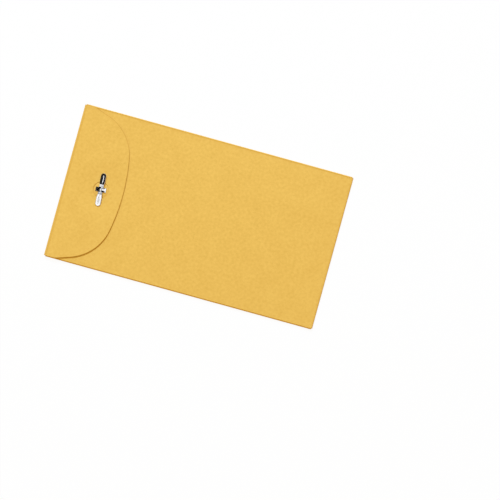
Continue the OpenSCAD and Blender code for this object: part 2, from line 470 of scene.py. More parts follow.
def kraft_finish(name, light, dark, rubbed_and_shaded, speck, roughness, fibre_size):
    """Kraft paper between a light and a dark shade, with specks, fibres and a fine tooth.
    Its cut edges are darker, partly from wear and partly as painted shade.
    """
    material, paint, shader = new_finish(name)
    place = flat_place(paint)
    formation = clouds(paint, place, 9 * MM, detail=3.0)
    mottle = clouds(paint, place, 1.5 * MM)
    tooth = clouds(paint, place, 0.22 * MM)
    grain = turned(paint, place, angle=0.35, stretch=(1, 2.6, 1), shift=(0.3, 0.1, 0))
    cross_grain = turned(paint, place, angle=-0.9, stretch=(1, 2.2, 1), shift=(0.7, 0.4, 0))
    bark_grain = turned(paint, place, angle=0.2, stretch=(1, 3.0, 1), shift=(0.9, 0.8, 0))
    pale_fibre = fibres(paint, grain, fibre_size, width=0.05, bare=0.44)
    brown_fibre = fibres(paint, cross_grain, 1.4 * fibre_size, width=0.035, bare=0.52)
    specks = soft_step(paint, clouds(paint, bark_grain, 0.9 * MM, detail=1.0), 0.735, 0.78)
    # The crease value darkens a fold for its press, with painted shade or painted light that evens the folds
    # out.
    crease = kept_value(paint, "crease")
    # Painted shade and wear: a darker band along each cut edge.
    edge_wear_and_shade = soft_step(paint, kept_value(paint, "edge_distance"), EDGE_WEAR_AND_SHADE_WIDTH, 0.0)
    shade = (formation - MIDDLE) * 0.5 + (mottle - MIDDLE) * 1.05 + 0.42
    shade = shade - pale_fibre * 0.28 + brown_fibre * 0.30 + crease * 0.5
    colour = blend_colours(paint, shade, light, dark)
    colour = blend_colours(paint, edge_wear_and_shade * 0.6, colour, rubbed_and_shaded)
    colour = blend_colours(paint, specks * 0.4, colour, speck)
    height = tooth * 0.5 + pale_fibre * 0.35 + brown_fibre * 0.3 + mottle * 0.9
    normal = relief(paint, height, strength=0.55, depth=0.03 * MM)
    rough = roughness + (mottle - MIDDLE) * 0.2 - crease * 0.08
    plug(paint, shader, Base_Color=colour, Roughness=rough, Specular_IOR_Level=0.25, Normal=normal)
    return material


print("kraft can be mixed, with edges rubbed over", *in_mm([EDGE_WEAR_AND_SHADE_WIDTH]), "mm")

# %% The four papers
BROWN_SPECK = tint(0.36, 0.17, 0.03)
DARK_SPECK = tint(0.28, 0.13, 0.03)
# The third tint of each paper is its edge band: wear, and painted shade for the shadow line at an edge.
kraft = kraft_finish(
    "golden_kraft", light=tint(0.91, 0.582, 0.133), dark=tint(0.763, 0.451, 0.085),
    rubbed_and_shaded=tint(0.58, 0.28, 0.025), speck=BROWN_SPECK, roughness=0.82, fibre_size=0.55 * MM,
)
kraft_cut = kraft_finish(
    "cut_edge", light=tint(0.76, 0.46, 0.10), dark=tint(0.58, 0.31, 0.05),
    rubbed_and_shaded=tint(0.50, 0.25, 0.035), speck=BROWN_SPECK, roughness=0.9, fibre_size=0.3 * MM,
)
patch_kraft = kraft_finish(
    "patch_kraft", light=tint(0.78, 0.47, 0.12), dark=tint(0.58, 0.32, 0.07),
    rubbed_and_shaded=tint(0.45, 0.23, 0.04), speck=DARK_SPECK, roughness=0.86, fibre_size=0.8 * MM,
)
patch_cut = kraft_finish(
    "patch_cut_edge", light=tint(0.70, 0.42, 0.10), dark=tint(0.50, 0.28, 0.06),
    rubbed_and_shaded=tint(0.42, 0.22, 0.04), speck=DARK_SPECK, roughness=0.9, fibre_size=0.3 * MM,
)
print("paper finishes:", [m.name for m in (kraft, kraft_cut, patch_kraft, patch_cut)])

# %% [markdown]
# ## Dry gum
# The gum on the flap and the glue in the seams dry to a thin amber film with a soft gloss. It is wiped on
# in one direction, so it has streaks, and it cracks a little as it dries. A clear coat over paper would
# hide the streaks, so the film gets a colour and a roughness that change along the wipe.

# %% Dry gum
GUM_RIM = 0.8 * MM


def gum_finish(name, thin, thick):
    """A wiped film between a thin and a thick shade."""
    material, paint, shader = new_finish(name)
    place = flat_place(paint)
    wiped = turned(paint, place, angle=0.0, stretch=(6, 0.5, 1), shift=(0.2, 0.6, 0))
    streaks = clouds(paint, wiped, 2.2 * MM, detail=3.0)
    pools = clouds(paint, place, 5 * MM)
    cracks = fibres(paint, place, 1.6 * MM, width=0.012, bare=0.5)
    rim = soft_step(paint, kept_value(paint, "edge_distance"), GUM_RIM, 0.0)
    shade = (streaks - MIDDLE) * 0.9 + (pools - MIDDLE) * 0.6 + rim * 0.35 + 0.45
    colour = blend_colours(paint, shade, thin, thick)
    height = streaks * 0.6 + pools * 0.5 - cracks * 0.5
    normal = relief(paint, height, strength=0.5, depth=0.02 * MM)
    rough = 0.3 + (streaks - 0.4) * 0.3 + cracks * 0.25
    plug(paint, shader, Base_Color=colour, Roughness=rough, Specular_IOR_Level=0.5, Normal=normal)
    return material


gum = gum_finish("wiped_gum", thin=tint(0.80, 0.60, 0.27), thick=tint(0.66, 0.43, 0.13))
seam_gum = gum_finish("seam_glue", thin=tint(0.78, 0.66, 0.42), thick=tint(0.66, 0.50, 0.26))
print("gum finishes:", gum.name, seam_gum.name)

# %% [markdown]
# ## Tinned steel
# The clasp is stamped from thin steel strip with a bright coat of tin. Tin is almost a mirror, so its look
# comes from what stands round it. A plain mirror would do from afar, but near it would look like glass.
# So the coat has a fine grain along the strip, hair scratches from the press and from fingers, and a
# duller line where the shears cut the edge.

# %% Tinned steel
SHEARED_LINE = 0.16 * MM


def tin_finish(name, bright, dull, roughness):
    """Bright plate with a fine grain, hair scratches and duller, darker edges."""
    material, paint, shader = new_finish(name)
    place = flat_place(paint)
    strip = turned(paint, place, angle=0.0, stretch=(9, 0.6, 1), shift=(0.4, 0.2, 0))
    scuffed = turned(paint, place, angle=0.5, stretch=(1, 7, 1), shift=(0.1, 0.9, 0))
    rolling = clouds(paint, strip, 1.1 * MM, detail=3.0)
    bloom = clouds(paint, place, 1.4 * MM)
    scratches = fibres(paint, scuffed, 1.5 * MM, width=0.012, bare=0.52)
    edge = soft_step(paint, kept_value(paint, "edge_distance"), SHEARED_LINE, 0.0)
    shade = (bloom - MIDDLE) * 0.5 + (rolling - MIDDLE) * 0.3 + edge * 0.35 + 0.25
    colour = blend_colours(paint, shade, bright, dull)
    rough = roughness + (bloom - MIDDLE) * 0.08 + (rolling - MIDDLE) * 0.06 + scratches * 0.12 + edge * 0.12
    height = rolling * 0.25 + bloom * 0.3 - scratches * 0.5
    normal = relief(paint, height, strength=0.3, depth=0.004 * MM)
    plug(paint, shader, Base_Color=colour, Metallic=1.0, Roughness=rough, Normal=normal)
    return material


tin = tin_finish(
    "bright_tin", bright=tint(0.93, 0.93, 0.94), dull=tint(0.68, 0.68, 0.70), roughness=0.09
)
tin_cut = tin_finish(
    "sheared_edge", bright=tint(0.66, 0.66, 0.68), dull=tint(0.42, 0.42, 0.44), roughness=0.34
)
print("metal finishes:", tin.name, tin_cut.name)

# %% Dress a piece


def dress(piece, face, edge, slot, *nodes):
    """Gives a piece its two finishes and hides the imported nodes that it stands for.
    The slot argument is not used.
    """
    piece.data.materials.clear()
    piece.data.materials.append(face)
    piece.data.materials.append(edge)
    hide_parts(*nodes)


print("dress gives a piece its finishes")

# %% [markdown]
# ## How the paper lies
# New stationery is almost flat, but never quite. The back panel bows up by a third of a millimetre between
# its glued sides. The free edge of the flap stands off a little, more on the left, where its shadow is the
# widest. Round the clasp, the prongs press the paper down into a shallow dish. We could run a simulation
# for that, but the shapes are simple and the amounts are small, so three formulas do it. Each fades out
# where something else holds the paper: the bow at the folds and under the flap, the lift at the fold and
# round the clasp, and the dish at the clasp's own seat.

# %% Where the clasp sits
joints = {joint["name"]: joint for joint in frame["joints"]}
left_bend = Vector(joints["prong_left_bend"]["pos_m"])
right_bend = Vector(joints["prong_right_bend"]["pos_m"])
clasp_mid = (left_bend + right_bend) / 2
across = Vector(joints["prong_right_bend"]["axis"])
lengthways = Vector((-across.y, across.x, 0))


def clasp_point(p, q):
    """The place on the envelope of a point p across the clasp and q along it."""
    return (clasp_mid + across * p + lengthways * q).xy


def on_clasp(x, y):
    """How far across and along the clasp a place on the envelope lies."""
    offset = Vector((x, y, clasp_mid.z)) - clasp_mid
    return offset.dot(across), offset.dot(lengthways)


def from_clasp(x, y):
    """How far a place on the envelope is from the middle of the clasp."""
    return math.dist((x, y), clasp_mid.xy)


clasp_turn = math.degrees(math.atan2(across.y, across.x))
print("clasp at", in_mm(clasp_mid), "mm, turned by", round(clasp_turn, 2), "degrees")

# %% How far the paper stands off
BOW = 0.35 * MM
BOW_RISES_OVER = 40 * MM
LIFT = 0.168 * MM
LEAST_LIFT = 0.18
LIFT_STARTS = -26 * MM
LIFT_FULL = 24 * MM
FREE_PAST_FOLD = 5 * MM
HELD_NEAR_CLASP = 6 * MM
FREE_FROM_CLASP = 15 * MM
HOLE_PRESS = 0.04 * MM
DISH = 0.2 * MM
DISH_STARTS = 2.9 * MM
DISH_FULL_FROM = 4.3 * MM
DISH_FULL_TO = 6 * MM
DISH_ENDS = 16 * MM


def bow(x, y):
    """How far the back panel bows up at this place."""
    risen = smooth(x, flap_high.x, flap_high.x + BOW_RISES_OVER)
    fallen = smooth(x, bottom_fold_x / 2, bottom_fold_x)
    return BOW * max(1 - (y / side_fold_y) ** 2, 0) * risen * (1 - fallen)


def dish(x, y):
    """How far the prongs press the paper down round the clasp. The clasp's own seat stays up."""
    away = from_clasp(x, y)
    return DISH * smooth(away, DISH_STARTS, DISH_FULL_FROM) * (1 - smooth(away, DISH_FULL_TO, DISH_ENDS))


def flap_lift(x, y):
    """How far the flap stands off at this place. Round the prongs it is pressed down."""
    held = 1 - smooth(from_clasp(x, y), HELD_NEAR_CLASP, FREE_FROM_CLASP)
    free = (1 - held) * smooth(x, flap_fold_x, flap_fold_x + FREE_PAST_FOLD)
    share = LEAST_LIFT + (1 - LEAST_LIFT) * smooth(-y, LIFT_STARTS, LIFT_FULL)
    return LIFT * free * share - HOLE_PRESS * held - dish(x, y)


print("the flap's tip stands off by", *in_mm([flap_lift(flap_high.x, 0)]), "mm")

# %% Rings of points round the clasp
RING_SPACING = 0.25 * MM
LAST_RINGS = (5 * MM, DISH_FULL_TO)
RING_POINTS = 48


def circle(x, y, radius, count):
    """Points evenly round a circle."""
    return [
        (x + radius * math.cos(2 * math.pi * i / count), y + radius * math.sin(2 * math.pi * i / count))
        for i in range(count)
    ]


# The rings lie close together where the pressed paper bends the most.
ring_radii = [*along(DISH_STARTS, DISH_FULL_FROM, RING_SPACING), *LAST_RINGS]
clasp_rings = [place for radius in ring_radii for place in circle(*clasp_mid.xy, radius, RING_POINTS)]
print("rings at", in_mm(ring_radii), "mm from the clasp's middle")

# %% [markdown]
# ## The blank of the pocket
# One sheet makes the front, the back and the two side flaps. The back folds up from the bottom end, the
# side flaps fold in from the long edges, and the back is glued down on them. The corners between them are
# cut away, as on any blank. Each packed panel and crease could get a mesh of its own, but then the paper
# would have seams where it has none. So the whole blank is one mesh that stands for all seven nodes.

# %% Folds on the flat blank
FOLD_STEPS = 10
FOLD_MARK = 0.8 * MM
side_strip = math.pi * side_radius
bottom_strip = math.pi * bottom_radius
flap_strip = math.pi * flap_radius


def fold_stations(line, strip, sign=1):
    """Stations across a fold that starts at a line. Two more on each side are for the mark that it leaves."""
    beside = [-FOLD_MARK, -FOLD_MARK / 2, strip + FOLD_MARK / 2, strip + FOLD_MARK]
    return [line + sign * d for d in [*np.linspace(0, strip, FOLD_STEPS + 1), *beside]]


def fold_mark(distance, strip):
    """How creased the paper is at this distance past a fold's line."""
    return smooth(distance, -FOLD_MARK, 0) * (1 - smooth(distance, strip, strip + FOLD_MARK))


print("the folds take up", in_mm([side_strip, bottom_strip, flap_strip]), "mm of the blank")

# %% Fold and crease the pocket
# Fold tones: press and painted shade. The right fold faces the lamp and gets the most painted shade; the left
# one lies in the lamp's shade and gets painted light.
RIGHT_FOLD_PRESS_AND_SHADE = 1.6
LEFT_FOLD_PAINTED_LIGHT = -0.5
BOTTOM_FOLD_PRESS_AND_SHADE = 0.6


def pocket_place(u, v):
    """Where a point of the flat blank lies on the folded pocket."""
    if u > bottom_fold_x:
        out, up = roll(u - bottom_fold_x, bottom_radius)
        x, y = bottom_fold_x + out, v
    elif abs(v) > side_fold_y:
        out, up = roll(abs(v) - side_fold_y, side_radius)
        x, y = u, math.copysign(side_fold_y + out, v)
    else:
        return Vector((u, v, paper / 2))
    raised = smooth(up, bottom_radius, 2 * min(bottom_radius, side_radius))
    return Vector((x, y, paper / 2 + up + raised * (bow(x, y) - dish(x, y))))


def pocket_crease(u, v):
    """The folds' tone: their press, with painted shade on the right fold and painted light on the left one.
    """
    side_mark = fold_mark(abs(v) - side_fold_y, side_strip) * (RIGHT_FOLD_PRESS_AND_SHADE if v > 0 else LEFT_FOLD_PAINTED_LIGHT)
    return fold_mark(u - bottom_fold_x, bottom_strip) * BOTTOM_FOLD_PRESS_AND_SHADE + side_mark


print("over the middle, the back panel lies at", in_mm(pocket_place(2 * bottom_fold_x + bottom_strip, 0)))

# %% Draw the blank
SIDE_TAPER = 4 * MM
GRID = 2.5 * MM
side_end = side_fold_y + side_strip + side_high.y - side_low.y
back_end = bottom_fold_x + bottom_strip + back_high.x - back_low.x
half_blank = [
    (flap_fold_x, side_fold_y + side_strip),
    (flap_fold_x + SIDE_TAPER, side_end),
    (bottom_fold_x - SIDE_TAPER, side_end),
    (bottom_fold_x, side_fold_y + side_strip),
    (bottom_fold_x, side_fold_y),
    (back_end, side_fold_y),
]
pocket_outline = half_blank + [(u, -v) for u, v in reversed(half_blank)]
pocket_us = [
    *along(flap_fold_x, bottom_fold_x, GRID),
    *fold_stations(bottom_fold_x, bottom_strip),
    *along(bottom_fold_x + bottom_strip, back_end, GRID),
]
pocket_vs = [*along(-side_fold_y, side_fold_y, GRID)]
for side in (-1, 1):
    pocket_vs += fold_stations(side * side_fold_y, side_strip, side)
    pocket_vs += [*along(side * (side_fold_y + side_strip), side * side_end, GRID)]
print("blank in mm:", in_mm([back_end - flap_fold_x, 2 * side_end]))

# %% [markdown]
# ## The clasp's sizes
# The two legs of the clasp pierce the back panel and the patch behind it, so the slits have to be known
# before the pocket is cut. We could type the clasp's sizes in again, but they would drift from the model.
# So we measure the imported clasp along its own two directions.

# %% Measure the clasp


def reach(node, direction, beyond=-math.inf):
    """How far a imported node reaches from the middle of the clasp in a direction.
    Only its points further across the clasp than beyond count."""
    offsets = [v.co - clasp_mid for v in frame["nodes"][node].data.vertices]
    return max(offset.dot(direction) for offset in offsets if offset.dot(across) > beyond)


steel = 2 * (right_bend.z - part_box("clasp_prong_right")[0].z)
bend_q = (right_bend - clasp_mid).length
prong_tip = reach("clasp_prong_right", lengthways)
prong_half = reach("clasp_prong_right", across)
ear_end = reach("clasp_base", across)
leg_half = reach("clasp_base", lengthways, beyond=ear_end - steel / 2)
print("steel in mm:", *in_mm([steel]), "prong from and to:", in_mm([bend_q, prong_tip]))

# %% Cut the pocket
SLIT_ROOM = 0.05 * MM


def slit(side):
    """The slit for one leg, as a loop of places across and along the clasp."""
    middle_p = side * (ear_end - steel / 2)
    wide = steel / 2 + SLIT_ROOM
    tall = leg_half + SLIT_ROOM
    return [(middle_p + a * wide, b * tall) for a, b in ((-1, -1), (1, -1), (1, 1), (-1, 1))]


def on_back(x, y):
    """Where a place on the back panel lies on the flat blank."""
    return back_end - (x - back_low.x), y


back_slits = [[on_back(*clasp_point(p, q)) for p, q in slit(side)] for side in (-1, 1)]
pocket = cut_sheet(
    "pocket_blank", pocket_outline, back_slits, (pocket_us, pocket_vs), pocket_place, paper, GRID,
    joined_at=flap_fold_x, creased=pocket_crease, more=[on_back(x, y) for x, y in clasp_rings],
)
dress(
    pocket, kraft, kraft_cut, "kraft_paper", "front_panel", "back_panel", "bottom_crease",
    "side_crease_left", "side_crease_right", "side_flap_left", "side_flap_right",
)
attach(pocket, "pocket")

# %% [markdown]
# ## The closure flap
# The flap's edge is a shallow arc at the tip, two tighter corner arcs that touch it, and sides that narrow
# a little from the fold. A hand-drawn curve could look right and still be wrong by a millimetre, so the
# arcs are worked out from their radii. The flap has to bend at its fold when it opens. Two stiff meshes
# would tear there, so the sheet starts at the front panel and runs through the fold.

# %% Draw the flap's edge
FLAP_TIP_RADIUS = 101.5 * MM
FLAP_CORNER_RADIUS = 23.5 * MM
FLAP_TAPER = math.radians(18.8)
FLAP_SHOULDER = 5.5 * MM
fold_edge_x = cad_box[0].x
flap_half = flap_high.y
side_normal = np.array((math.sin(FLAP_TAPER), math.cos(FLAP_TAPER)))
side_along = np.array((math.cos(FLAP_TAPER), -math.sin(FLAP_TAPER)))
side_line = side_normal @ (FLAP_SHOULDER, flap_half)
tip_centre = np.array((flap_high.x - fold_edge_x - FLAP_TIP_RADIUS, 0))
corner_out = side_line - FLAP_CORNER_RADIUS - side_normal @ tip_centre
corner_along = math.sqrt((FLAP_TIP_RADIUS - FLAP_CORNER_RADIUS) ** 2 - corner_out ** 2)
corner_centre = tip_centre + corner_out * side_normal + corner_along * side_along
tip_angle = math.atan2(corner_centre[1], corner_centre[0] - tip_centre[0])


def arc(centre, radius, start, stop, spacing):
    """Points along an arc, both ends included."""
    return [
        (centre[0] + radius * math.cos(a), centre[1] + radius * math.sin(a))
        for a in along(start, stop, spacing / radius)
    ]


def flap_edge(inset, spacing):
    """The edge of the flap, drawn in by an inset, from the left shoulder round the tip to the right one."""
    half = flap_half - inset
    shoulder_x = (side_line - inset - side_normal[1] * half) / side_normal[0]
    right = arc(tip_centre, FLAP_TIP_RADIUS - inset, 0, tip_angle, spacing)
    corner = arc(corner_centre, FLAP_CORNER_RADIUS - inset, tip_angle, math.pi / 2 - FLAP_TAPER, spacing)
    right += corner[1:] + [(shoulder_x, half)]
    left = [(x, -y) for x, y in reversed(right[1:])]
    return [(fold_edge_x + x, y) for x, y in left + right]


print("flap's edge has", len(flap_edge(0, MM)), "points, corner arc about", in_mm(corner_centre))

# %% Fold the flap
FOLD_BULGE = 0.05
FOLD_NARROWING = 0.002
# The flap's fold is darkened for its press and with painted shade, to match the other folds.
FLAP_FOLD_PRESS_AND_SHADE = 1.6


def on_flap(x, y):
    """Where a place on the closed flap lies on the flat blank, which runs on past the front panel."""
    return flap_fold_x - flap_strip - (x - flap_fold_x), y


def flap_place(u, v):
    """Where a point of the flat flap lies when the flap is closed.
    The fold bulges a little where it turns most and is a hair narrower at its start, so that its layers
    don't share a surface when the flap lies open."""
    out, up = roll(flap_fold_x - u, flap_radius)
    turned_by = min((flap_fold_x - u) / flap_radius, math.pi)
    bulge = 1 + FOLD_BULGE * math.sin(turned_by) ** 2
    x = flap_fold_x - (out * bulge if out > 0 else out)
    y = v * (1 - FOLD_NARROWING * (1 - turned_by / math.pi))
    return Vector((x, y, paper / 2 + up + (flap_lift(x, v) if up > flap_radius else 0)))


def flap_crease(u, v):
    """How dark the flap's fold is painted, all along v: its press and painted shade."""
    return FLAP_FOLD_PRESS_AND_SHADE * fold_mark(flap_fold_x - u, flap_strip)


print("the flap's tip lies at", in_mm(flap_place(*on_flap(flap_high.x, 0))))

# %% Cut the flap
HOLE_RADIUS = 3.95 * MM
HOLE_POINTS = 72
FLAP_GRID = 1.5 * MM
flap_outline = [
    (flap_fold_x, -flap_half),
    (flap_fold_x - flap_strip, -flap_half),
    *[on_flap(x, y) for x, y in flap_edge(0, MM)],
    (flap_fold_x - flap_strip, flap_half),
    (flap_fold_x, flap_half),
]
hole = circle(*clasp_mid.xy, HOLE_RADIUS, HOLE_POINTS)
flap_end = on_flap(flap_high.x, 0)[0]
flap_us = [
    *fold_stations(flap_fold_x, flap_strip, -1),
    *along(flap_fold_x - flap_strip, flap_end, FLAP_GRID),
]
flap_vs = along(-flap_half, flap_half, FLAP_GRID)
flap = cut_sheet(
    "flap_sheet", flap_outline, [[on_flap(x, y) for x, y in hole]], (flap_us, flap_vs), flap_place, paper, MM,
    joined_at=flap_fold_x, creased=flap_crease, more=[on_flap(x, y) for x, y in clasp_rings],
)
dress(flap, kraft, kraft_cut, "kraft_paper", "closure_flap", "flap_crease")
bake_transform(flap)

# %% [markdown]
# ## What is stuck to the flap
# Under the flap there are two wiped patches of gum, left and right, and a square of tougher paper round the
# hole, so that the prongs don't tear it. All three are thin films that follow the flap, so they use the
# flap's own height. The gum keeps clear of the flap's edge by an even margin. We could draw that line
# afresh, but it is the flap's edge again, drawn in and clipped. The patch behind the clasp is made the same
# way, inside the pocket.

# %% Clip a loop, and make the gum
GUM_MARGIN = 2 * MM


def clipped(loop, axis, limit, sign):
    """The part of a flat loop where sign times the coordinate is at least sign times the limit."""
    result = []
    for here, there in zip(loop, loop[1:] + loop[:1]):
        inside_here = sign * (here[axis] - limit) >= 0
        if inside_here:
            result.append(here)
        if inside_here != (sign * (there[axis] - limit) >= 0):
            t = (limit - here[axis]) / (there[axis] - here[axis])
            result.append((here[0] + t * (there[0] - here[0]), here[1] + t * (there[1] - here[1])))
    return result


def film_on_flap(node):
    """How a film lies on the underside of the flap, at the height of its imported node, and its thickness."""
    low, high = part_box(node)
    return lambda x, y: Vector((x, y, (low.z + high.z) / 2 + flap_lift(x, y))), high.z - low.z


for name, side in (("left", -1), ("right", 1)):
    low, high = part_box(f"flap_gum_{name}")
    past_fold = clipped(flap_edge(GUM_MARGIN, MM), 0, low.x, 1)
    loop = clipped(past_fold, 1, high.y if side < 0 else low.y, side)
    place, thickness = film_on_flap(f"flap_gum_{name}")
    grid = (along(low.x, high.x, FLAP_GRID), along(low.y, high.y, FLAP_GRID))
    film = cut_sheet(f"gum_film_{name}", loop, [], grid, place, thickness, MM)
    dress(film, gum, gum, "dry_gum", f"flap_gum_{name}")
    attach(film, "flap")

# %% Make the patch round the hole
PATCH_CORNER = 1.2 * MM
CORNER_SPACING = 0.3 * MM


def rounded_square(half, radius):
    """A square about the origin with round corners."""
    loop = []
    for turn in range(4):
        a = turn * math.pi / 2
        centre = (half - radius) * math.sqrt(2)
        corner = (centre * math.cos(a + math.pi / 4), centre * math.sin(a + math.pi / 4))
        loop += arc(corner, radius, a, a + math.pi / 2, CORNER_SPACING)
    return loop


patch_low, patch_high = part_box("eyelet_patch")
patch_half = (patch_high.x - patch_low.x) / 2
hole_square = [(clasp_mid.x + x, clasp_mid.y + y) for x, y in rounded_square(patch_half, PATCH_CORNER)]
hole_grid = (along(patch_low.x, patch_high.x, MM), along(patch_low.y, patch_high.y, MM))
place, thickness = film_on_flap("eyelet_patch")
hole_patch = cut_sheet(
    "hole_patch", hole_square, [hole], hole_grid, place, thickness, MM, more=clasp_rings
)
dress(hole_patch, patch_kraft, patch_cut, "kraft_patch", "eyelet_patch")
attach(hole_patch, "flap")

# %% Make the patch behind the clasp
inner_low, inner_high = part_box("clasp_patch")
# This patch is turned with the clasp, so its box is wider than its sides.
inner_half = (inner_high.x - inner_low.x) / 2 / (across.x + across.y)
inner_z = (inner_low.z + inner_high.z) / 2
inner_grid = (along(-inner_half, inner_half, MM), along(-inner_half, inner_half, MM))


def behind_back(p, q):
    """A point of the patch behind the clasp, which follows the back panel."""
    x, y = clasp_point(p, q)
    return Vector((x, y, inner_z - dish(x, y)))


backing = cut_sheet(
    "clasp_backing_patch", rounded_square(inner_half, PATCH_CORNER), [slit(-1), slit(1)], inner_grid,
    behind_back, inner_high.z - inner_low.z, MM, more=[on_clasp(x, y) for x, y in clasp_rings],
)
dress(backing, patch_kraft, patch_cut, "kraft_patch", "clasp_patch")
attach(backing, "pocket")

# %% [markdown]
# ## The glued seams
# The back is stuck to each side flap by one long line of glue. It only shows at the throat, inside the
# pocket, but the model is looked at with the flap open too. A straight strip would look printed, so the
# line is a thin film whose edges wander a little, as rolled glue does.

# %% Roll on the seam glue
WANDER = 0.35 * MM
SEAM_SPACING = 2 * MM


def wandering(xs, y, inwards, wave, shift):
    """An edge of a glue line, which wanders inwards from y in waves."""
    return [(x, y + inwards * WANDER * (1 + math.sin(x / wave + shift))) for x in xs]


for name in ("left", "right"):
    low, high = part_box(f"seam_glue_{name}")
    xs = along(low.x, high.x, SEAM_SPACING)
    back_xs = along(high.x, low.x, SEAM_SPACING)
    loop = wandering(xs, low.y, inwards=1, wave=7 * MM, shift=0)
    loop += wandering(back_xs, high.y, inwards=-1, wave=5 * MM, shift=2)
    seam_z = (low.z + high.z) / 2
    seam = cut_sheet(
        f"seam_glue_film_{name}", loop, [], (along(low.x, high.x, GRID), along(low.y, high.y, GRID)),
        lambda x, y: Vector((x, y, seam_z + bow(x, y))), high.z - low.z, GRID,
    )
    dress(seam, seam_gum, seam_gum, "dry_gum", f"seam_glue_{name}")
    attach(seam, "pocket")

# %% [markdown]
# ## The saddle of the clasp
# The clasp is a stamping. It could be cut from a block, but then its sheet would have no even thickness, so
# it is made as the paper was: a flat cross is cut and then bent. Its two ears slope down to the paper, turn
# down as legs through the slits and are clinched inwards behind the patch. The middle is a low bridge
# between the prongs. The sheared edges get a small rounding, because a perfectly sharp edge never catches
# the light.

# %% The saddle's bends
LEG_BEND = steel / 2
CLINCH = 1.5 * MM
seat_z = back_high.z
ear_bend = ear_end - steel
quarter = LEG_BEND * math.pi / 2
leg_drop = seat_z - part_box("clasp_base")[0].z - steel
clinch_start = ear_bend + 2 * quarter + leg_drop
leg_tip = clinch_start + CLINCH


def leg_place(distance):
    """How far out from the ear's bend, and how far down, a leg gets."""
    first = min(distance / LEG_BEND, math.pi / 2)
    drop = min(max(distance - quarter, 0), leg_drop)
    second = min(max(distance - quarter - leg_drop, 0) / LEG_BEND, math.pi / 2)
    beyond = max(distance - 2 * quarter - leg_drop, 0)
    out = LEG_BEND * math.sin(first) - LEG_BEND * (1 - math.cos(second)) - beyond
    return out, LEG_BEND * (1 - math.cos(first)) + drop + LEG_BEND * math.sin(second)


print("a leg reaches", in_mm(leg_place(leg_tip - ear_bend)), "mm out and down from the ear's bend")

# %% The saddle's height
SEAM_Q = 1.9 * MM
BRIDGE_LOW = 0.2 * MM
BRIDGE_RISES = 1.3 * MM
EAR_STARTS = 0.3 * MM
EAR_STRAIGHT = 0.15
EAR_CURVED = 1 - EAR_STRAIGHT
EAR_CROWN = 0.08 * MM
CROWN_FULL = 0.9 * MM
CROWN_FADES = 1.6 * MM
CROWN_POWER = 2.5
bridge_high = right_bend.z - seat_z - steel / 2


def saddle_height(p, q):
    """The middle of the steel above the ears' seat: a low bridge that rises to the prongs and falls to the
    ears, which are a little rounded across."""
    bridge = BRIDGE_LOW + (bridge_high - BRIDGE_LOW) * smooth(abs(q), BRIDGE_RISES, SEAM_Q)
    on_ear = 1 - smooth(abs(q), leg_half, SEAM_Q)
    t = max(abs(p) - EAR_STARTS, 0) / (ear_bend - EAR_STARTS)
    slope = (EAR_STRAIGHT * t + EAR_CURVED * t * t) * on_ear
    crown = smooth(abs(p), 0, CROWN_FULL) * (1 - smooth(abs(p), CROWN_FADES, ear_bend)) * on_ear
    return bridge * (1 - slope) - EAR_CROWN * crown * (abs(q) / leg_half) ** CROWN_POWER


def saddle_place(p, q):
    """Where a point of the flat cross lies on the bent saddle."""
    flat_p = max(-ear_bend, min(ear_bend, p))
    out, down = leg_place(abs(p) - abs(flat_p))
    z = seat_z + steel / 2 + saddle_height(flat_p, q) - down
    return Vector((*clasp_point(flat_p + math.copysign(1, p) * out, q), z))


print("the saddle's middle lies at", in_mm(saddle_place(0, 0)))

# %% Stamp and bend the saddle
NECK_HALF = 1.05 * MM
FILLET = 0.5 * MM
FILLET_SPACING = 0.08 * MM
LEG_POINT = 0.9 * MM
LEG_NOSE = 0.15 * MM
NOSE_HALF = 0.3 * MM
NOSE_TIP_HALF = 0.12 * MM
BEND_STEPS = 5
EDGE_ROUNDING = 0.05 * MM
STEEL_GRID = 0.13 * MM
fillet_centre = (NECK_HALF + FILLET, leg_half + FILLET)
quarter_cross = [
    (NECK_HALF, SEAM_Q),
    *arc(fillet_centre, FILLET, math.pi, 1.5 * math.pi, FILLET_SPACING),
    (leg_tip - LEG_POINT, leg_half),
    (leg_tip - LEG_NOSE, NOSE_HALF),
    (leg_tip, NOSE_TIP_HALF),
]
half_cross = quarter_cross + [(p, -q) for p, q in reversed(quarter_cross)]
cross = half_cross + [(-p, q) for p, q in reversed(half_cross)]
leg_ps = [
    *along(0, ear_bend, STEEL_GRID),
    *along(ear_bend, ear_bend + quarter, quarter / BEND_STEPS),
    *along(ear_bend + quarter + leg_drop, clinch_start, quarter / BEND_STEPS),
    *along(clinch_start, leg_tip, 2 * STEEL_GRID),
]
saddle = cut_sheet(
    "clasp_saddle", cross, [], ([-p for p in leg_ps] + leg_ps, along(-SEAM_Q, SEAM_Q, STEEL_GRID)),
    saddle_place, steel, STEEL_GRID, bevel=EDGE_ROUNDING,
)
dress(saddle, tin, tin_cut, "tinned_steel", "clasp_base")
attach(saddle, "pocket")

# %% [markdown]
# ## The two prongs
# Each prong is a blade with a round tip and a pressed bead that stiffens it. Bent down over the flap, it
# arches at the neck and slopes to its tip, so the upper and the lower prong mirror different parts of the
# room. A hinge with a gap would do for the motion, but the real steel bends at the neck each time. So a
# prong starts at the saddle and its points turn about the bend.

# %% The prongs' height
BEAD_HEIGHT = 0.1 * MM
BEAD_HALF = 0.38 * MM
BEAD_CREST = 0.04 * MM
BEAD_SLIMMEST = 0.4
BEAD_STARTS = 0.1 * MM
BEAD_FULL_FROM = 2.2 * MM
BEAD_FULL_TO = 1.8 * MM
BEAD_ENDS = 0.8 * MM
ARCH = 0.28 * MM
ARCH_RUN = 0.58 * MM
TIP_DROP = 0.18 * MM


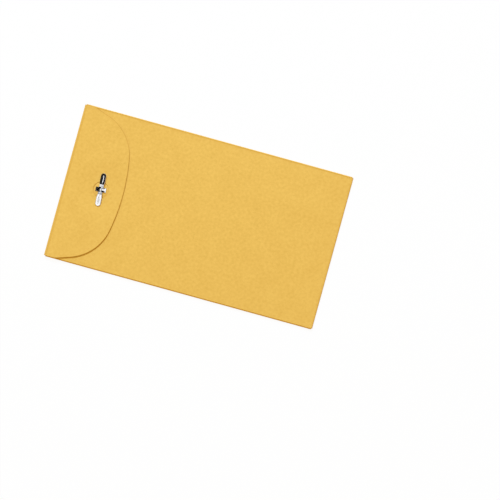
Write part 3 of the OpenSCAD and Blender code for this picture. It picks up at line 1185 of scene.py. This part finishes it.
def bead_height(p, q):
    """The pressed bead: a slim ridge that grows from the bend, keeps its steep sides and fades at the tip."""
    grown = smooth(q - bend_q, BEAD_STARTS, BEAD_FULL_FROM)
    share = grown * (1 - smooth(q - prong_tip, -BEAD_FULL_TO, -BEAD_ENDS))
    slim = max(share, BEAD_SLIMMEST)
    return BEAD_HEIGHT * share * (1 - smooth(abs(p), BEAD_CREST * slim, BEAD_HALF * slim))


def prong_height(p, q):
    """The middle of the steel above the bend's axis: it rises to an arch at the bend, slopes from there to
    the tip, and carries the bead."""
    past_bend = q - bend_q
    fall = max(past_bend, 0) / (prong_tip - bend_q)
    arch = ARCH * smooth(past_bend, -ARCH_RUN, 0) - (ARCH + TIP_DROP) * fall
    return arch + bead_height(p, q)


def prong_place(side):
    """Carries a point of the flat prong to the prong on one side."""
    return lambda p, q: Vector((*clasp_point(side * p, side * q), right_bend.z + prong_height(p, q)))


print("the right prong's tip lies at", in_mm(prong_place(1)(0, prong_tip)))

# %% Stamp and bend the prongs
NECK_FLARE = 1.6 * MM
TIP_SPACING = 0.12 * MM
BEAD_GRID = 0.05 * MM
BEND_ZONE = 0.25 * MM
half_prong = [
    (NECK_HALF, SEAM_Q),
    (NECK_HALF, bend_q),
    (prong_half, bend_q + NECK_FLARE),
    *arc((0, prong_tip - prong_half), prong_half, 0, math.pi / 2, TIP_SPACING)[:-1],
    (0, prong_tip),
]
prong_outline = half_prong + [(-p, q) for p, q in reversed(half_prong[:-1])]
prong_ps = [*along(-prong_half, prong_half, STEEL_GRID), *along(-BEAD_HALF, BEAD_HALF, BEAD_GRID)]
prong_grid = (prong_ps, along(SEAM_Q, prong_tip, STEEL_GRID))
for name, side in (("left", -1), ("right", 1)):
    blade = cut_sheet(
        f"prong_{name}_blade", prong_outline, [], prong_grid, prong_place(side), steel, STEEL_GRID,
        bevel=EDGE_ROUNDING,
    )
    dress(blade, tin, tin_cut, "tinned_steel", f"clasp_prong_{name}")
    bend = Vector((*clasp_point(0, side * bend_q), right_bend.z))
    reach_over = side * BEND_ZONE * lengthways
    bend - reach_over
    bend + reach_over
    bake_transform(blade)

# %% [markdown]
# ## The table
# The picture is cut out on white. A white floor under a lamp is never quite white, and more lamps would
# burn out the paper. So the floor is part paint and part glow: the glow shows only to the camera and in
# reflections, and the painted part keeps the envelope's shadow. Far from the envelope the glow takes over.

# %% White table
FLOOR_SIZE = 6.0
FLOOR_DROP = 0.01 * MM
FLOOR_GRAIN = 0.02
SHADOW_REACH = 0.16
GLOW_REACH = 0.4
GLOW_NEAR = 0.94
WHITE = tint(1, 1, 1)


def seen_by_eye_or_mirror(paint):
    """1 for the camera's own rays and for rays in reflections and through glass, else 0."""
    kinds = ("Camera", "Glossy", "Transmission")
    camera_ray, mirror_ray, glass_ray = [
        paint.node("ShaderNodeLightPath", {}, {}, f"Is {kind} Ray") for kind in kinds
    ]
    return soft_step(paint, camera_ray + mirror_ray + glass_ray, 0, 1)


bpy.ops.mesh.primitive_plane_add(size=FLOOR_SIZE, location=(0, 0, -FLOOR_DROP))
floor = bpy.context.object
floor.name = "white_table"
white, paint, shader = new_finish("white_table")
spot = paint.node("ShaderNodeNewGeometry", {}, {}, "Position")
from_middle = paint.node("ShaderNodeVectorMath", {"operation": "LENGTH"}, {0: spot}, "Value")
rough = 0.7 + clouds(paint, spot, FLOOR_GRAIN) * 0.1
plug(paint, shader, Base_Color=tint(0.96, 0.96, 0.96), Roughness=rough, Specular_IOR_Level=0.1)
glow = paint.node("ShaderNodeEmission", {}, {"Color": WHITE, "Strength": 1.0})
share = GLOW_NEAR + soft_step(paint, from_middle, SHADOW_REACH, GLOW_REACH) * (1 - GLOW_NEAR)
painted = Wire(paint.tree, shader.outputs[0])
mixed = paint.node("ShaderNodeMixShader", {}, {0: share * seen_by_eye_or_mirror(paint), 1: painted, 2: glow})
paint.feed(paint.tree.nodes["Material Output"].inputs["Surface"], mixed)
floor.data.materials.append(white)
print("table laid,", FLOOR_SIZE, "m wide")

# %% [markdown]
# ## The camera
# The photograph looks straight down. The envelope lies turned by about fifteen degrees, and its middle is
# up and to the left of the picture's middle. A camera without perspective would do for a flat sheet. A long
# lens is almost the same, and still shows the clasp's height a little, as a real one does.

# %% Camera over the table
VIEW_TURN = math.radians(15.4)
PICTURE = 500
MM_PER_PIXEL = 0.50185 * MM
ENVELOPE_PIXEL = (198.7, 216.6)
LENS = 100
SENSOR = 36
camera_data = bpy.data.cameras.new("camera")
camera_data.lens = LENS
camera_data.sensor_width = SENSOR
camera = bpy.data.objects.new("camera", camera_data)
bpy.context.scene.collection.objects.link(camera)
bpy.context.scene.camera = camera
right_shift = (PICTURE / 2 - ENVELOPE_PIXEL[0]) * MM_PER_PIXEL
up_shift = (ENVELOPE_PIXEL[1] - PICTURE / 2) * MM_PER_PIXEL
camera.location = Matrix.Rotation(VIEW_TURN, 3, "Z") @ Vector((right_shift, up_shift, 0))
camera.location.z = flap_high.z + PICTURE * MM_PER_PIXEL * LENS / SENSOR
camera.rotation_euler = (0, 0, VIEW_TURN)
bpy.context.scene.view_settings.view_transform = "Standard"
print("camera at", [round(v, 4) for v in camera.location])

# %% [markdown]
# ## The room
# The camera sees a white room, and a warm soft fill comes from all round. Mirrors see a white room too, but
# tin needs something dark to mirror, or it would look like white paint. So their room has dark stretches of
# ceiling, a beam, a dark wall on the left and one far off, and it turns grey towards the floor. A picture
# of a room would do as well, but here each stretch can be put where the prongs and the ears mirror it. A
# stretch is given by how far a mirrored ray leans from what flat tin mirrors to the camera. The two numbers
# of each are the leans at which it starts and at which it is full.

# %% How far a mirrored ray leans
world = bpy.data.worlds.new("white_room")
bpy.context.scene.world = world
world.use_nodes = True
world.cycles.sampling_method = "NONE"
room = Wire(world.node_tree)
direction = room.node("ShaderNodeTexCoord", {}, {}, "Generated")
to_camera = (camera.location - clasp_mid).normalized()
mirrored_flat = Vector((-to_camera.x, -to_camera.y, to_camera.z))


def leaning(towards):
    """How far a ray leans towards a direction, against what flat tin mirrors to the camera."""
    dot_product = {"operation": "DOT_PRODUCT"}
    lean = room.node("ShaderNodeVectorMath", dot_product, {0: direction, 1: towards}, "Value")
    return lean - mirrored_flat.dot(towards)


to_right = leaning(across)
to_top = leaning(lengthways)
to_ceiling = leaning(Vector((0, 0, 1)))
print("flat tin mirrors", [round(v, 3) for v in mirrored_flat])

# %% The dark stretches
WINDOW_TOP = (-0.01, -0.05)
WINDOW_RIGHT = (-0.26, -0.34)
FAR_CEILING_WAY = across * 0.5 - lengthways * 0.87
FAR_CEILING_EDGE = (-0.015, -0.045)
FAR_CEILING_TOP = (0.36, 0.26)
NEAR_CEILING_TOP = (-0.03, -0.08)
NEAR_CEILING_LEFT = (0.03, 0.09)
NEAR_CEILING_RIGHT = (0.38, 0.3)
BEAM_AT = 0.05
BEAM_SIDES = (0.035, 0.02)
BEAM_BOTTOM = (-0.07, -0.04)
FAR_WALL_BOTTOM = (0.68, 0.78)
FAR_WALL_SHADE = 0.7
LEFT_WALL_EDGE = (-0.03, -0.07)
LEFT_WALL_SLANT = 0.2
LEFT_WALL_TOP = (0.45, 0.35)
OVERHEAD = (-0.45, -0.3)
LOW = (-0.28, -0.72)


def stretch(value, edge, *others):
    """1 where a lean is past an edge, times the same for other leans and edges."""
    shown = soft_step(room, value, *edge)
    for other_value, other_edge in others:
        shown = shown * soft_step(room, other_value, *other_edge)
    return shown


to_bottom = room.maths("MAXIMUM", -1 * to_top, 0.0)
no_window = 1 - stretch(to_top, WINDOW_TOP, (to_right, WINDOW_RIGHT))
far_ceiling = stretch(leaning(FAR_CEILING_WAY), FAR_CEILING_EDGE, (to_top, FAR_CEILING_TOP)) * no_window
near_ceiling = stretch(
    to_top, NEAR_CEILING_TOP, (to_right, NEAR_CEILING_LEFT), (to_right, NEAR_CEILING_RIGHT)
)
beam = stretch(abs(to_right - BEAM_AT), BEAM_SIDES, (to_top, BEAM_BOTTOM))
slanted = to_right + to_bottom * LEFT_WALL_SLANT
left_wall = stretch(slanted, LEFT_WALL_EDGE, (to_top, LEFT_WALL_TOP)) * no_window
low = stretch(to_ceiling, LOW)
dark = (far_ceiling + near_ceiling + beam) * stretch(to_ceiling, OVERHEAD) + left_wall
dark = dark * (1 - low) + stretch(to_top, FAR_WALL_BOTTOM) * FAR_WALL_SHADE
print("the mirrored room has two dark ceilings, a beam, two dark walls and a window")

# %% Light the room
FILL = 0.61
WARM = tint(1.0, 0.75, 0.28)
MIRROR_BRIGHT = 1.15
MIRROR_WALL = 0.3
MIRROR_DARK = 0.006


def glowing(colour, strength):
    """A room that glows in one colour all round."""
    return room.node("ShaderNodeBackground", {}, {"Color": colour, "Strength": strength})


def chosen(factor, first, second):
    """The first room where the factor is 0 and the second where it is 1."""
    return room.node("ShaderNodeMixShader", {}, {0: factor, 1: first, 2: second})


lit = chosen(low, glowing(WHITE, MIRROR_BRIGHT), glowing(WHITE, MIRROR_WALL))
mirrored = chosen(soft_step(room, dark, 0, 1), lit, glowing(WHITE, MIRROR_DARK))
seen = chosen(room.node("ShaderNodeLightPath", {}, {}, "Is Glossy Ray"), glowing(WHITE, 1.0), mirrored)
whole_room = chosen(seen_by_eye_or_mirror(room), glowing(WARM, FILL), seen)
room.feed(world.node_tree.nodes["World Output"].inputs["Surface"], whole_room)
print("the room's fill is", FILL)

# %% [markdown]
# ## The lamp
# One cooler lamp stands far off past the upper long edge, low enough to draw the thin shadow along the
# flap. A point of light would draw it too sharp, so the lamp is a wide panel. Lamp and fill together are
# white, and a shadow keeps only the warm fill, so it turns brown and not grey.

# %% Lamp
LAMP_POWER = 158
LAMP_SIZE = 0.9
LAMP_DISTANCE = 3.0
LAMP_HEIGHT = math.radians(34)
LAMP_TURN = math.radians(9)
lamp_data = bpy.data.lights.new("soft_lamp", "AREA")
lamp_data.energy = LAMP_POWER * (1 - FILL)
lamp_data.color = [(1 - FILL * share) / (1 - FILL) for share in WARM[:3]]
lamp_data.size = LAMP_SIZE
lamp = bpy.data.objects.new("soft_lamp", lamp_data)
bpy.context.scene.collection.objects.link(lamp)
lamp_side = VIEW_TURN + math.pi / 2 + LAMP_TURN
level = math.cos(LAMP_HEIGHT)
lamp_from = Vector((math.cos(lamp_side) * level, math.sin(lamp_side) * level, math.sin(LAMP_HEIGHT)))
lamp.location = LAMP_DISTANCE * lamp_from
lamp.visible_glossy = False
lamp.rotation_mode = "QUATERNION"
lamp.rotation_quaternion = lamp_from.to_track_quat("Z", "Y")
print("lamp at", [round(v, 2) for v in lamp.location])
